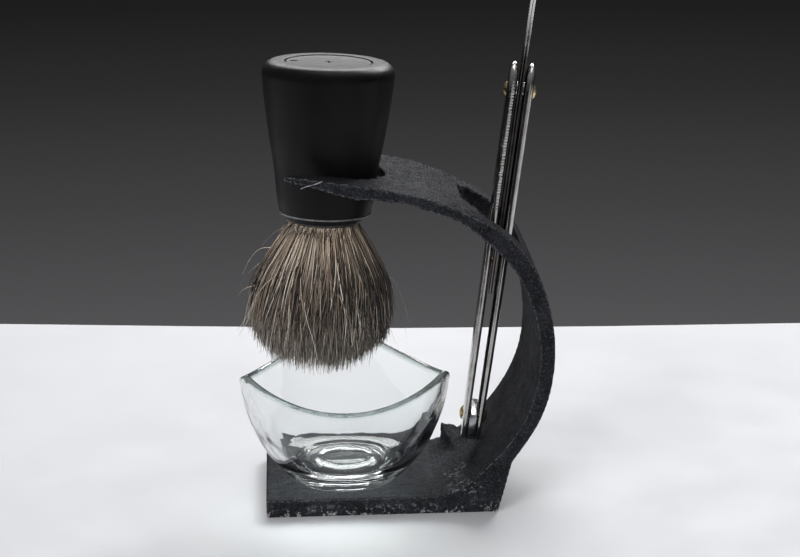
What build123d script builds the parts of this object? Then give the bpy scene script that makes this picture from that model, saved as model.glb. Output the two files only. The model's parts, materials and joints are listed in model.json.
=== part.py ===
from build123d import *
import os
from math import asin, cos, radians, sin

os.makedirs("parts", exist_ok=True)

# Shaving set: a printed C-shaped stand that holds a brush, a glass bowl and a folding razor.
# Frame: origin at the centre of the base plate's underside, X to the heel, Y to the back, Z up.

# ---------------------------------------------------------------- stand
base_length = 75.0
base_width = 53.0
base_thickness = 5.8
base_left = -base_length / 2
base_right = base_length / 2

heel_corner = (42.0, 16.9)
outer_curve = [heel_corner, (51.4, 32.0), (55.5, 54.0), (51.6, 75.0), (40.2, 91.8), (17.2, 103.8), (-8.7, 109.6)]
inner_curve = [(14.5, base_thickness), (31.4, 13.0), (42.4, 25.4), (49.2, 40.4), (50.5, 54.0), (47.2, 71.2),
               (37.6, 86.3), (31.3, 92.1), (22.0, 98.2), (12.0, 101.7), (0.0, 104.4)]
prong_tip_top = (-29.5, 112.7)
prong_tip_bottom = (-29.5, 111.3)
prong_sag = [(-7.0, 104.9), (-13.0, 106.3), (-19.0, 108.4)]

notch_centre = -14.7
notch_radius = 17.5
prong_tip_width = 2.2

slot_left = 27.1
slot_right = 45.5
slot_width = 33.0
slot_corner = 4.0

curb_foot = [(22.2, 24.5), (27.4, 2.8), (31.6, 4.6), (27.4, 26.0)]
curb_back_left = Vector(22.2, 24.5, 13.1)
curb_back_right = Vector(27.4, 26.0, 11.6)
curb_front = Vector(29.0, 3.6, 8.0)

# A low sloping curb beside the razor's toe, joined to the base plate.
with BuildPart() as toe_curb:
    with BuildSketch(Plane.XY.offset(base_thickness - 1.0)):
        with BuildLine():
            Polyline(*curb_foot, close=True)
        make_face()
    extrude(amount=12.0)
    curb_across = curb_back_right - curb_back_left
    curb_along = curb_back_left - curb_front
    split(bisect_by=Plane(origin=curb_front, x_dir=curb_across, z_dir=curb_across.cross(curb_along)),
          keep=Keep.BOTTOM)

with BuildPart() as printed_stand:
    with BuildSketch(Plane.XZ):
        with BuildLine():
            heel = Polyline((base_left, base_thickness), (base_left, 0), (base_right, 0), heel_corner)
            back = Spline(*outer_curve, tangents=[(0.72, 1.0), (-1.0, 0.2)])
            tip = Polyline(back @ 1, prong_tip_top, prong_tip_bottom, *reversed(prong_sag), inner_curve[-1])
            front = Spline(*inner_curve, tangents=[(1.0, 0.0), (-1.0, 0.16)])
            Line(inner_curve[0], (base_left, base_thickness))
        make_face()
    extrude(amount=base_width / 2, both=True)
    add(toe_curb.part)
    # The fork's notch is open at the arm's free end, and its prongs narrow towards their tips.
    mouth = base_width / 2 - prong_tip_width
    with BuildSketch(Plane.XY.offset(95.0)):
        with Locations((notch_centre, 0)):
            Circle(notch_radius)
        with BuildLine():
            Polyline(
                (notch_centre, notch_radius), (prong_tip_top[0] - 1.0, mouth),
                (prong_tip_top[0] - 1.0, -mouth), (notch_centre, -notch_radius),
                close=True,
            )
        make_face()
    extrude(amount=30.0, mode=Mode.SUBTRACT)
    # The razor's slot goes straight down through the shoulder of the arm.
    with BuildSketch(Plane.XY.offset(60.0)):
        with Locations(((slot_left + slot_right) / 2, 0)):
            RectangleRounded(slot_right - slot_left, slot_width, slot_corner)
    extrude(amount=50.0, mode=Mode.SUBTRACT)
printed_stand.part.label = "printed_stand"
export_step(printed_stand.part, "parts/printed_stand.step")

# ---------------------------------------------------------------- glass bowl
bowl_x = -11.2
bowl_y = -3.0
bowl_floor = base_thickness
rim_corner_height = 47.4
rim_dips = {30: 8.6, 150: 8.6, 270: 10.0}
rim_corner_radius = 37.6
side_distance = 32.6
glass_wall = 2.3
glass_base = 5.0
side_angles = (30, 150, 270)
body_curve = [(18.4, 0.7), (22.3, 4.8), (27.2, 11.3), (30.6, 18.5), (33.2, 25.3), (35.4, 32.2), (38.2, 44.2)]
cavity_curve = [(15.5, 5.6), (20.4, 7.2), (24.7, 11.8), (28.2, 18.5), (30.9, 25.3), (33.1, 32.2), (35.9, 44.2)]
side_taper = 6.0


def corner_point(angle, distance):
    return (bowl_x + distance * cos(radians(angle)), bowl_y + distance * sin(radians(angle)))


def bulged_triangle(inset):
    """Three bowed sides that meet at the bowl's corners."""
    with BuildSketch() as outline:
        with BuildLine():
            for side in side_angles:
                ThreePointArc(
                    corner_point(side - 60, rim_corner_radius + 1.0 - inset * 1.4),
                    corner_point(side, side_distance + 0.4 - inset),
                    corner_point(side + 60, rim_corner_radius + 1.0 - inset * 1.4),
                )
        make_face()
    return outline.sketch


bowl_section = Plane(origin=(bowl_x, bowl_y, bowl_floor), x_dir=(1, 0, 0), z_dir=(0, -1, 0))
bowl_axis = Axis((bowl_x, bowl_y, 0), (0, 0, 1))
bowl_top = 44.2

with BuildPart() as bowl_cavity:
    with BuildSketch(bowl_section):
        with BuildLine():
            Polyline((0, glass_base), (12.0, glass_base))
            Spline((12.0, glass_base), *cavity_curve, tangents=[(1.0, 0.02), (0.25, 1.0)])
            Polyline(cavity_curve[-1], (0, bowl_top), (0, glass_base))
        make_face()
    revolve(axis=bowl_axis)
    with BuildSketch(Plane.XY.offset(bowl_floor + bowl_top)):
        add(bulged_triangle(glass_wall))
    extrude(amount=-bowl_top, taper=side_taper, mode=Mode.INTERSECT)

with BuildPart() as glass_bowl:
    with BuildSketch(bowl_section):
        with BuildLine():
            Polyline((0, 1.4), (13.5, 1.4), (14.6, 0), (17.6, 0), body_curve[0])
            Spline(*body_curve, tangents=[(0.75, 1.0), (0.28, 1.0)])
            Polyline(body_curve[-1], (0, bowl_top), (0, 1.4))
        make_face()
    revolve(axis=bowl_axis)
    with BuildSketch(Plane.XY.offset(bowl_floor + bowl_top)):
        add(bulged_triangle(0.0))
    extrude(amount=-bowl_top, taper=side_taper, mode=Mode.INTERSECT)
    add(bowl_cavity.part, mode=Mode.SUBTRACT)
    # Each side of the rim dips between two corners, on a cylinder that points outwards.
    half_side = rim_corner_radius * sin(radians(60))
    for side, rim_dip in rim_dips.items():
        dip_radius = (half_side ** 2 + rim_dip ** 2) / (2 * rim_dip)
        outwards = Vector(cos(radians(side)), sin(radians(side)), 0)
        dip_height = rim_corner_height - rim_dip + dip_radius
        with BuildSketch(Plane(origin=(bowl_x, bowl_y, dip_height), z_dir=outwards)):
            Circle(dip_radius)
        extrude(amount=60.0, mode=Mode.SUBTRACT)
glass_bowl.part.label = "glass_bowl"
export_step(glass_bowl.part, "parts/glass_bowl.step")

# ---------------------------------------------------------------- shaving brush
# The brush hangs in the fork by its tapered handle and leans a little.
brush_origin = Vector(-16.0, 0.0, 107.0)
lean_right = 2.4
lean_back = 1.6
brush_up = Vector(sin(radians(lean_right)), sin(radians(lean_back)), 1.0).normalized()
brush_out = Vector(brush_up.Z, 0.0, -brush_up.X).normalized()
brush_section = Plane(origin=brush_origin, x_dir=brush_out, z_dir=brush_out.cross(brush_up))
brush_axis = Axis(brush_origin, brush_up)

handle_bottom = -13.6
handle_top = 36.6
shoulder_radius = 3.2
handle_top_radius = 21.2
cap_radius = 13.8
cap_thickness = 1.6
cap_sink = 0.35
socket_radius = 11.4
socket_depth = 12.0
cavity_radius = 9.0

with BuildPart() as brush_handle:
    with BuildSketch(brush_section):
        with BuildLine():
            side_wall = Spline(
                (14.4, handle_bottom), (15.5, -8.0), (16.9, 3.0), (18.5, 12.0), (20.3, 24.0),
                (handle_top_radius, handle_top - shoulder_radius),
                tangents=[(0.45, 1.0), (0.08, 1.0)],
            )
            shoulder = RadiusArc(
                side_wall @ 1, (handle_top_radius - shoulder_radius, handle_top), -shoulder_radius)
            Polyline(
                shoulder @ 1,
                (cap_radius + 0.05, handle_top),
                (cap_radius + 0.05, handle_top - cap_thickness - cap_sink),
                (cavity_radius, handle_top - cap_thickness - cap_sink),
                (cavity_radius, handle_bottom + socket_depth),
                (socket_radius + 0.05, handle_bottom + socket_depth),
                (socket_radius + 0.05, handle_bottom - 0.6),
                (13.4, handle_bottom - 0.6),
                (14.4, handle_bottom),
            )
        make_face()
    revolve(axis=brush_axis)
brush_handle.part.label = "brush_handle"
export_step(brush_handle.part, "parts/brush_handle.step")

with BuildPart() as handle_end_cap:
    cap_plane = Plane(origin=brush_origin + brush_up * (handle_top - cap_sink), x_dir=brush_out, z_dir=brush_up)
    with BuildSketch(cap_plane):
        Circle(cap_radius)
    extrude(amount=-cap_thickness)
    # A pry slot near the rim and a cross in the middle.
    with BuildSketch(cap_plane):
        with Locations((-cap_radius + 2.4, 0)):
            SlotOverall(2.6, 1.1)
        Rectangle(2.6, 0.5)
        Rectangle(0.5, 2.6)
    extrude(amount=-0.5, mode=Mode.SUBTRACT)
handle_end_cap.part.label = "handle_end_cap"
export_step(handle_end_cap.part, "parts/handle_end_cap.step")

ferrule_bottom = handle_bottom - 2.6
ferrule_wall = 1.0
knot_root_radius = socket_radius - ferrule_wall

with BuildPart() as knot_ferrule:
    with BuildSketch(brush_section):
        with BuildLine():
            Polyline(
                (knot_root_radius, handle_bottom + socket_depth - 0.05),
                (socket_radius, handle_bottom + socket_depth - 0.05),
                (socket_radius, ferrule_bottom + 0.6),
                (socket_radius - 0.6, ferrule_bottom),
                (knot_root_radius, ferrule_bottom),
                close=True,
            )
        make_face()
    revolve(axis=brush_axis)
knot_ferrule.part.label = "knot_ferrule"
export_step(knot_ferrule.part, "parts/knot_ferrule.step")

with BuildPart() as knot_resin_plug:
    with BuildSketch(brush_section):
        with BuildLine():
            Polyline(
                (0, handle_bottom + 4.0),
                (knot_root_radius, handle_bottom + 4.0),
                (knot_root_radius, handle_bottom + socket_depth - 0.05),
                (0, handle_bottom + socket_depth - 0.05),
                close=True,
            )
        make_face()
    revolve(axis=brush_axis)
knot_resin_plug.part.label = "knot_resin_plug"
export_step(knot_resin_plug.part, "parts/knot_resin_plug.step")

bristle_tip = -65.9
bristle_curve = [(knot_root_radius, ferrule_bottom), (16.6, -24.0), (21.8, -33.5), (23.5, -45.0), (22.9, -52.0),
                 (19.2, -58.2), (12.4, -63.6), (5.0, -65.7), (0, bristle_tip)]

with BuildPart() as bristle_knot:
    with BuildSketch(brush_section):
        with BuildLine():
            Polyline(
                (0, bristle_tip),
                (0, handle_bottom + 4.0),
                (knot_root_radius, handle_bottom + 4.0),
                (knot_root_radius, ferrule_bottom),
            )
            Spline(*bristle_curve, tangents=[(0.55, -1.0), (-1.0, 0.0)])
        make_face()
    revolve(axis=brush_axis)
bristle_knot.part.label = "bristle_knot"
export_step(bristle_knot.part, "parts/bristle_knot.step")

# ---------------------------------------------------------------- folding razor
# The closed razor stands on its toe, on the arm's inner curve, and leans on the slot's right end.
razor_lean = 7.7
razor_twist = 5.8
razor_toe = Vector(30.4, 0.0, 15.9)
razor_up = Vector(sin(radians(razor_lean)), 0, cos(radians(razor_lean)))
razor_right = razor_up.cross(Vector(-sin(radians(razor_twist)), -cos(radians(razor_twist)), 0)).normalized()
razor_back = razor_right.cross(razor_up) * -1
# Side plane: local X points to the back, local Y runs up the razor, the normal points right.
razor_side = Plane(origin=razor_toe, x_dir=razor_back, z_dir=razor_right)
# Edge plane: local X points right, local Y runs up the razor.
razor_edge = Plane(origin=razor_toe, x_dir=razor_right, z_dir=razor_right.cross(razor_up))

scale_length = 127.5
scale_gap = 2.4
scale_toe_half = 8.6
scale_head_half = 6.4
pivot_height = 118.5
end_pin_height = 8.6
stop_pin_height = 60.0
stop_pin_side = 5.2
pin_radius = 1.25
pin_clearance = 0.05
head_radius = 2.4
head_height = 1.1
spacer_height = 11.0

outer_face = [(3.3, 0.0), (3.8, 30.0), (4.1, 70.0), (4.3, 105.0), (4.3, scale_length)]
pin_face = {pivot_height: 4.32, end_pin_height: 3.6, stop_pin_height: 4.04}


def scale_outline():
    """A scale seen from the side: a broad rounded toe and a narrower head round the pivot."""
    with BuildSketch() as outline:
        with BuildLine():
            toe = ThreePointArc((-scale_toe_half, 9.0), (0, 0), (scale_toe_half, 9.0))
            Spline(
                toe @ 1, (scale_toe_half - 0.6, 45.0), (scale_head_half, pivot_height),
                tangents=[(0.12, 1.0), (-0.06, 1.0)],
            )
            ThreePointArc((scale_head_half, pivot_height), (0, scale_length), (-scale_head_half, pivot_height))
            Spline(
                (-scale_head_half, pivot_height), (-scale_toe_half + 0.6, 45.0), toe @ 0,
                tangents=[(-0.06, -1.0), (-0.12, -1.0)],
            )
        make_face()
    return outline.sketch


for side, name in ((-1, "razor_left_scale"), (1, "razor_right_scale")):
    with BuildPart() as razor_scale:
        with BuildSketch(razor_side):
            add(scale_outline())
        extrude(amount=side * 8.0)
        with BuildSketch(razor_edge):
            with BuildLine():
                face = Spline(*[(side * x, y) for x, y in outer_face])
                Polyline(
                    face @ 1, (side * scale_gap / 2, scale_length),
                    (side * scale_gap / 2, 0.0), face @ 0,
                )
            make_face()
        extrude(amount=12.0, both=True, mode=Mode.INTERSECT)
        with BuildSketch(razor_side):
            with Locations((0, pivot_height), (0, end_pin_height), (stop_pin_side, stop_pin_height)):
                Circle(pin_radius)
        extrude(amount=side * 8.0, mode=Mode.SUBTRACT)
    razor_scale.part.label = name
    export_step(razor_scale.part, f"parts/{name}.step")

with BuildPart() as scale_spacer:
    with BuildSketch(razor_side):
        add(scale_outline())
        with Locations((0, spacer_height + 60.0)):
            Rectangle(40.0, 120.0, mode=Mode.SUBTRACT)
        with Locations((0, end_pin_height)):
            Circle(pin_radius, mode=Mode.SUBTRACT)
    extrude(amount=scale_gap / 2, both=True)
scale_spacer.part.label = "scale_spacer"
export_step(scale_spacer.part, "parts/scale_spacer.step")


# Each rivet is a pin across both scales, with a domed head on each outer face.
dome_radius = (head_radius ** 2 + head_height ** 2) / (2 * head_height)
dome_angle = asin(head_radius / dome_radius) / 2
dome = dome_radius * sin(dome_angle)
dome_height = head_height - dome_radius * (1 - cos(dome_angle))
for height, label in ((pivot_height, "pivot_pin"), (end_pin_height, "end_pin")):
    reach = pin_face[height]
    centre = razor_toe + razor_up * height
    with BuildPart() as rivet:
        with BuildSketch(Plane(origin=centre, x_dir=razor_up, z_dir=razor_up.cross(razor_right))):
            with BuildLine():
                Line((0, reach + head_height), (0, -reach - head_height))
                ThreePointArc((0, -reach - head_height), (dome, -reach - dome_height), (head_radius, -reach))
                Polyline((head_radius, -reach), (pin_radius, -reach), (pin_radius, reach), (head_radius, reach))
                ThreePointArc((head_radius, reach), (dome, reach + dome_height), (0, reach + head_height))
            make_face()
        revolve(axis=Axis(centre, razor_right))
    rivet.part.label = label
    export_step(rivet.part, f"parts/{label}.step")

with BuildPart() as stop_pin:
    with BuildSketch(razor_side):
        with Locations((stop_pin_side, stop_pin_height)):
            Circle(pin_radius)
    extrude(amount=pin_face[stop_pin_height] - 0.4, both=True)
stop_pin.part.label = "stop_pin"
export_step(stop_pin.part, "parts/stop_pin.step")

# ---------------------------------------------------------------- blade holder
leaf_thickness = 0.8
blade_thickness = 0.1
blade_width = 9.5
blade_length = 43.0
blade_middle = 84.0
leaf_inside = blade_thickness / 2
leaf_outside = leaf_inside + leaf_thickness
holder_bottom = 52.0
holder_half = 5.6
tang_half = 3.6
tail_top = 158.0

washer_radius = 2.6
washer_thickness = 0.3


def leaf_outline():
    """A holder leaf from the side: the blade bed below the pivot and the curled tang above it."""
    with BuildSketch() as outline:
        with BuildLine():
            bed = Polyline(
                (tang_half, pivot_height - 8.0), (holder_half - 1.0, pivot_height - 14.0),
                (holder_half - 1.0, holder_bottom + 12.0), (1.6, holder_bottom + 4.0), (1.6, holder_bottom),
                (-holder_half, holder_bottom), (-holder_half, pivot_height - 14.0),
                (-tang_half, pivot_height - 8.0),
            )
            left_edge = Line(bed @ 1, (-tang_half, pivot_height + 12.0))
            outer_tail = TangentArc(left_edge @ 1, (-tang_half - 7.0, tail_top + 1.0), tangent=(0, 1))
            tip = Line(outer_tail @ 1, (-tang_half - 4.2, tail_top + 4.4))
            inner_tail = Spline(
                tip @ 1, (1.0, pivot_height + 26.0), (tang_half, pivot_height + 10.0),
                tangents=[(0.55, -1.0), (0.0, -1.0)],
            )
            Line(inner_tail @ 1, bed @ 0)
        make_face()
    return outline.sketch


for side, name in ((-1, "holder_left_leaf"), (1, "holder_right_leaf")):
    with BuildPart() as leaf:
        with BuildSketch(razor_side.offset(side * leaf_inside)):
            add(leaf_outline())
            with Locations((0, pivot_height)):
                Circle(pin_radius + pin_clearance, mode=Mode.SUBTRACT)
        extrude(amount=side * leaf_thickness)
    leaf.part.label = name
    export_step(leaf.part, f"parts/{name}.step")

with BuildPart() as half_blade:
    with BuildSketch(razor_side.offset(-leaf_inside)):
        with Locations((holder_half - blade_width / 2, blade_middle)):
            Rectangle(blade_width, blade_length)
    extrude(amount=blade_thickness)
half_blade.part.label = "half_blade"
export_step(half_blade.part, "parts/half_blade.step")

with BuildPart() as pivot_washers:
    for side in (-1, 1):
        with BuildSketch(razor_side.offset(side * scale_gap / 2)):
            with Locations((0, pivot_height)):
                Circle(washer_radius)
                Circle(pin_radius, mode=Mode.SUBTRACT)
        extrude(amount=-side * washer_thickness)
pivot_washers.part.label = "pivot_washers"
export_step(pivot_washers.part, "parts/pivot_washers.step")
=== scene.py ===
import json
import math

import bpy
import numpy as np
from mathutils import Matrix, Vector, noise

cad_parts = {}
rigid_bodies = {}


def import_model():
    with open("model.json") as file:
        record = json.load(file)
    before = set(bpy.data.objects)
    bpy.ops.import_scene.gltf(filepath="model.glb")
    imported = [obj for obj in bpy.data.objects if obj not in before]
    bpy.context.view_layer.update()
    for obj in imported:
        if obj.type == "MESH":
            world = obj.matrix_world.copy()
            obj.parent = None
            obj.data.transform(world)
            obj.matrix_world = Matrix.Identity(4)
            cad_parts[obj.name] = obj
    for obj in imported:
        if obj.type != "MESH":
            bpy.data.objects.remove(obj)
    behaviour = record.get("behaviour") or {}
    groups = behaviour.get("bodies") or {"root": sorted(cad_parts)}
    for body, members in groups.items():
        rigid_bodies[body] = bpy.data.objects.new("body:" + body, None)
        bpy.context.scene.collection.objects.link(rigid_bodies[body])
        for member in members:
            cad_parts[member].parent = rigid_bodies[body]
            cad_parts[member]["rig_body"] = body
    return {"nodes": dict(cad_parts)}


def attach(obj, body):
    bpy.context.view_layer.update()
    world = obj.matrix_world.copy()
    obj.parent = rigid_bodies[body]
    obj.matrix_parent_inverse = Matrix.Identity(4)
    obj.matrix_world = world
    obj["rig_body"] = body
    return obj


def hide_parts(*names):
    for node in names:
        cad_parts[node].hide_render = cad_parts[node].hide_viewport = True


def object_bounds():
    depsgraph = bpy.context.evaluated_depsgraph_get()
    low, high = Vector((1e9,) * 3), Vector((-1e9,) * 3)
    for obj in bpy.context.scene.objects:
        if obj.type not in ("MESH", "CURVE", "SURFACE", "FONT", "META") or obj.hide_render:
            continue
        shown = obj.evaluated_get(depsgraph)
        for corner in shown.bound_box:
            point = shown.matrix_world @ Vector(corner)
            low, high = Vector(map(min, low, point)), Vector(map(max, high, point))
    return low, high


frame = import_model()
cad_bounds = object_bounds()
box_low = np.array(cad_bounds[0])
box_high = np.array(cad_bounds[1])
scene = bpy.context.scene
rng = np.random.default_rng(11)

# Shapes are written in millimetres, materials and modifiers in metres.
MM = 0.001
WELD_GAP = 0.00001
PRINT_VOXEL = 0.6
RAZOR_LEAN = math.radians(7.7)


# ------------------------------------------------------------------ nodes
class Nodes:
    """Short calls for building one material's node tree."""

    def __init__(self, name, colour, roughness, metallic=0.0):
        self.material = bpy.data.materials.new(name)
        self.material.use_nodes = True
        self.tree = self.material.node_tree
        self.bsdf = self.tree.nodes["Principled BSDF"]
        self.bsdf.inputs["Base Color"].default_value = (*colour, 1.0)
        self.bsdf.inputs["Roughness"].default_value = roughness
        self.bsdf.inputs["Metallic"].default_value = metallic
        self.material.diffuse_color = (*colour, 1.0)
        self.where = self.tree.nodes.new("ShaderNodeTexCoord").outputs["Object"]

    def node(self, kind, **settings):
        made = self.tree.nodes.new(kind)
        for key, value in settings.items():
            setattr(made, key, value)
        return made

    def link(self, out, into):
        self.tree.links.new(out, into)

    def mapped(self, scale, turn=(0, 0, 0)):
        mapping = self.node("ShaderNodeMapping")
        mapping.inputs["Scale"].default_value = scale
        mapping.inputs["Rotation"].default_value = turn
        self.link(self.where, mapping.inputs["Vector"])
        return mapping.outputs["Vector"]

    def noise(self, scale, detail=4.0, rough=0.55, vector=None):
        made = self.node("ShaderNodeTexNoise")
        made.inputs["Scale"].default_value = scale
        made.inputs["Detail"].default_value = detail
        made.inputs["Roughness"].default_value = rough
        self.link(vector or self.where, made.inputs["Vector"])
        return made.outputs["Fac"]

    def wave(self, scale, direction, distortion, detail=2.0, vector=None):
        made = self.node("ShaderNodeTexWave", bands_direction=direction)
        made.inputs["Scale"].default_value = scale
        made.inputs["Distortion"].default_value = distortion
        made.inputs["Detail"].default_value = detail
        self.link(vector or self.where, made.inputs["Vector"])
        return made.outputs["Fac"]

    def ramp(self, fac, stops):
        made = self.node("ShaderNodeValToRGB")
        elements = made.color_ramp.elements
        while len(elements) < len(stops):
            elements.new(0.5)
        for element, (at, value) in zip(elements, stops):
            element.position = at
            element.color = (*value, 1.0) if isinstance(value, tuple) else (value, value, value, 1.0)
        self.link(fac, made.inputs["Fac"])
        return made.outputs["Color"]

    def mix(self, fac, a, b, blend="MIX"):
        made = self.node("ShaderNodeMix", data_type="RGBA", blend_type=blend)
        for value, socket in ((fac, made.inputs[0]), (a, made.inputs[6]), (b, made.inputs[7])):
            if isinstance(value, (int, float)):
                socket.default_value = value
            elif isinstance(value, tuple):
                socket.default_value = (*value, 1.0)
            else:
                self.link(value, socket)
        return made.outputs[2]

    def maths(self, operation, a, b):
        made = self.node("ShaderNodeMath", operation=operation)
        for value, socket in ((a, made.inputs[0]), (b, made.inputs[1])):
            if isinstance(value, (int, float)):
                socket.default_value = value
            else:
                self.link(value, socket)
        return made.outputs[0]

    def span(self, fac, low, high, to_low=0.0, to_high=1.0):
        made = self.node("ShaderNodeMapRange")
        for key, value in zip(("From Min", "From Max", "To Min", "To Max"), (low, high, to_low, to_high)):
            made.inputs[key].default_value = value
        self.link(fac, made.inputs["Value"])
        return made.outputs["Result"]

    def painted(self, name):
        """The grey amount that paint() gave each point under this name."""
        return self.node("ShaderNodeVertexColor", layer_name=name).outputs["Color"]

    def specular(self, level):
        self.bsdf.inputs["Specular IOR Level"].default_value = level

    def axis(self, letter):
        made = self.node("ShaderNodeSeparateXYZ")
        self.link(self.where, made.inputs[0])
        return made.outputs[letter]

    def colour(self, out):
        self.link(out, self.bsdf.inputs["Base Color"])

    def rough(self, out):
        self.link(out, self.bsdf.inputs["Roughness"])

    def bump(self, *heights):
        """Chains (height, depth in metres) pairs into the shader's normal."""
        normal = None
        for height, depth in heights:
            made = self.node("ShaderNodeBump")
            made.inputs["Strength"].default_value = 1.0
            made.inputs["Distance"].default_value = depth
            self.link(height, made.inputs["Height"])
            if normal is not None:
                self.link(normal, made.inputs["Normal"])
            normal = made.outputs["Normal"]
        self.link(normal, self.bsdf.inputs["Normal"])


def printed_plastic():
    """Black print: fine layer lines, a grainy surface and edges painted paler as a highlight."""
    n = Nodes("printed_plastic", (0.02, 0.021, 0.024), 0.5)
    blotch = n.noise(110, 6, 0.6)
    lumps = n.noise(330, 5, 0.6)
    fine = n.noise(1700, 4, 0.65)
    layers = n.wave(900, "Z", 1.6, 3.0)
    rows = n.wave(480, "Y", 3.5, 3.0, n.mapped((1, 1, 0.2)))
    base = n.ramp(blotch, [(0.3, (0.010, 0.010, 0.0115)), (0.52, (0.020, 0.0205, 0.024)),
                           (0.75, (0.040, 0.0415, 0.050))])
    base = n.mix(n.span(layers, 0.3, 0.95, 0.0, 0.4), base, (0.020, 0.021, 0.026))
    base = n.mix(n.ramp(n.noise(2100, 3, 0.6), [(0.50, 0.0), (0.68, 1.0)]), base, (0.072, 0.075, 0.087))
    # Edges are painted paler than the faces between them: a painted highlight, broken up by noise.
    edge = n.painted("edge")
    worn = n.maths("MULTIPLY", edge, n.ramp(n.noise(1100, 4), [(0.44, 0.0), (0.58, 1.0)]))
    base = n.mix(worn, base, (0.27, 0.275, 0.295))
    # Pale specks show low on the base's front and on the curb's torn face.
    pale_specks = n.maths("MULTIPLY", n.ramp(n.noise(620, 6, 0.72), [(0.545, 0.0), (0.57, 1.0)]),
                     n.ramp(n.noise(150, 3), [(0.42, 0.0), (0.5, 1.0)]))
    low = n.ramp(n.axis("Z"), [(0.0002, 1.0), (0.0042, 0.0)])
    front = n.ramp(n.maths("MULTIPLY", n.axis("Y"), -1.0), [(0.0254, 0.0), (0.0259, 1.0)])
    curb = n.painted("torn")
    where = n.maths("MAXIMUM", n.maths("MULTIPLY", low, front), curb)
    n.colour(n.mix(n.maths("MULTIPLY", pale_specks, where), base, (0.70, 0.71, 0.73)))
    n.rough(n.span(lumps, 0.3, 0.75, 0.50, 0.82))
    n.bump((layers, 0.00022), (rows, 0.00012), (fine, 0.00055), (lumps, 0.0007))
    n.specular(0.08)
    return n.material


def loose_plastic():
    """Thin strings of the same plastic, pale where they were stretched."""
    n = Nodes("loose_plastic", (0.25, 0.25, 0.26), 0.5)
    n.colour(n.ramp(n.noise(700, 3), [(0.3, (0.12, 0.12, 0.13)), (0.6, (0.34, 0.345, 0.36))]))
    n.rough(n.span(n.noise(1100, 3), 0.3, 0.7, 0.4, 0.6))
    n.bump((n.noise(1500, 2), 0.00003))
    return n.material


def satin_handle():
    n = Nodes("handle_satin", (0.006, 0.006, 0.0065), 0.42)
    cloud = n.noise(60, 4)
    grain = n.noise(2600, 2)
    n.colour(n.ramp(cloud, [(0.3, (0.0028, 0.0027, 0.0030)), (0.75, (0.0050, 0.0048, 0.0054))]))
    n.rough(n.span(n.noise(300, 5), 0.3, 0.75, 0.38, 0.48))
    n.bump((grain, 0.00002), (cloud, 0.00004))
    n.specular(0.17)
    return n.material


def black_ring():
    n = Nodes("ferrule_black", (0.03, 0.03, 0.03), 0.35)
    n.colour(n.ramp(n.noise(500, 4), [(0.3, (0.02, 0.02, 0.02)), (0.8, (0.05, 0.05, 0.052))]))
    n.rough(n.span(n.noise(900, 3), 0.3, 0.7, 0.28, 0.42))
    n.bump((n.wave(700, "Z", 0.5), 0.00005))
    return n.material


def bead_painted_highlight():
    """The handle's lower edge, painted light grey as a highlight line."""
    n = Nodes("handle_bead_painted_highlight", (0.10, 0.10, 0.105), 0.25)
    # Painted highlight: a grey many times lighter than the handle's own black.
    n.colour(n.ramp(n.noise(400, 4), [(0.3, (0.09, 0.09, 0.095)), (0.75, (0.17, 0.17, 0.18))]))
    n.rough(n.span(n.noise(900, 3), 0.3, 0.7, 0.18, 0.34))
    n.bump((n.noise(1500, 2), 0.00002))
    return n.material


def setting_resin():
    n = Nodes("resin", (0.3, 0.2, 0.09), 0.3)
    n.colour(n.ramp(n.noise(300, 5), [(0.3, (0.2, 0.12, 0.05)), (0.8, (0.4, 0.28, 0.13))]))
    n.rough(n.span(n.noise(600, 3), 0.3, 0.7, 0.25, 0.4))
    n.bump((n.noise(500, 4), 0.0001))
    return n.material


def badger_hair():
    """Colour runs along each hair (attribute red) and differs from hair to hair (green, blue)."""
    n = Nodes("badger_hair", (0.25, 0.19, 0.13), 0.45)
    split = n.node("ShaderNodeSeparateColor")
    n.link(n.painted("hair"), split.inputs[0])
    along, kind, shade = split.outputs
    tan = n.ramp(along, [(0.0, (0.50, 0.38, 0.27)), (0.08, (0.78, 0.63, 0.48)), (0.40, (0.74, 0.60, 0.47)),
                         (0.60, (0.29, 0.225, 0.17)), (0.85, (0.215, 0.165, 0.125)), (1.0, (0.37, 0.305, 0.24))])
    dark = n.ramp(along, [(0.0, (0.12, 0.08, 0.055)), (0.2, (0.20, 0.145, 0.10)), (0.42, (0.065, 0.052, 0.044)),
                          (0.62, (0.020, 0.018, 0.017)), (0.86, (0.019, 0.017, 0.015)), (1.0, (0.075, 0.064, 0.054))])
    pale = n.ramp(along, [(0.0, (0.60, 0.48, 0.36)), (0.4, (0.80, 0.70, 0.58)), (0.7, (0.66, 0.59, 0.51)),
                          (1.0, (0.80, 0.74, 0.66))])
    colour = n.mix(n.ramp(kind, [(0.50, 0.0), (0.58, 1.0)]), tan, dark)
    colour = n.mix(n.ramp(kind, [(0.85, 0.0), (0.88, 1.0)]), colour, pale)
    colour = n.mix(1.0, colour, n.ramp(shade, [(0.0, 0.32), (1.0, 1.45)]), "MULTIPLY")
    n.colour(n.mix(n.span(n.noise(900, 3), 0.3, 0.7, 0.0, 0.25), colour, (0.05, 0.042, 0.036)))
    n.rough(n.span(n.noise(1500, 2), 0.3, 0.7, 0.34, 0.5))
    n.bump((n.noise(4000, 2), 0.00002))
    n.bsdf.inputs["Sheen Weight"].default_value = 0.15
    return n.material


def hair_core():
    n = Nodes("badger_hair_core", (0.06, 0.045, 0.035), 0.7)
    streaks = n.noise(1, 4, 0.6, n.mapped((1100, 1100, 60)))
    drop = n.span(n.axis("Z"), 0.045, 0.088, 0.0, 1.0)
    light = n.ramp(drop, [(0.0, (0.12, 0.10, 0.085)), (0.45, (0.11, 0.09, 0.075)), (1.0, (0.42, 0.32, 0.24))])
    n.colour(n.mix(n.ramp(streaks, [(0.35, 0.0), (0.7, 1.0)]), light, (0.012, 0.010, 0.009)))
    n.rough(n.span(streaks, 0.3, 0.7, 0.5, 0.8))
    n.bump((streaks, 0.0004))
    return n.material


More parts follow.
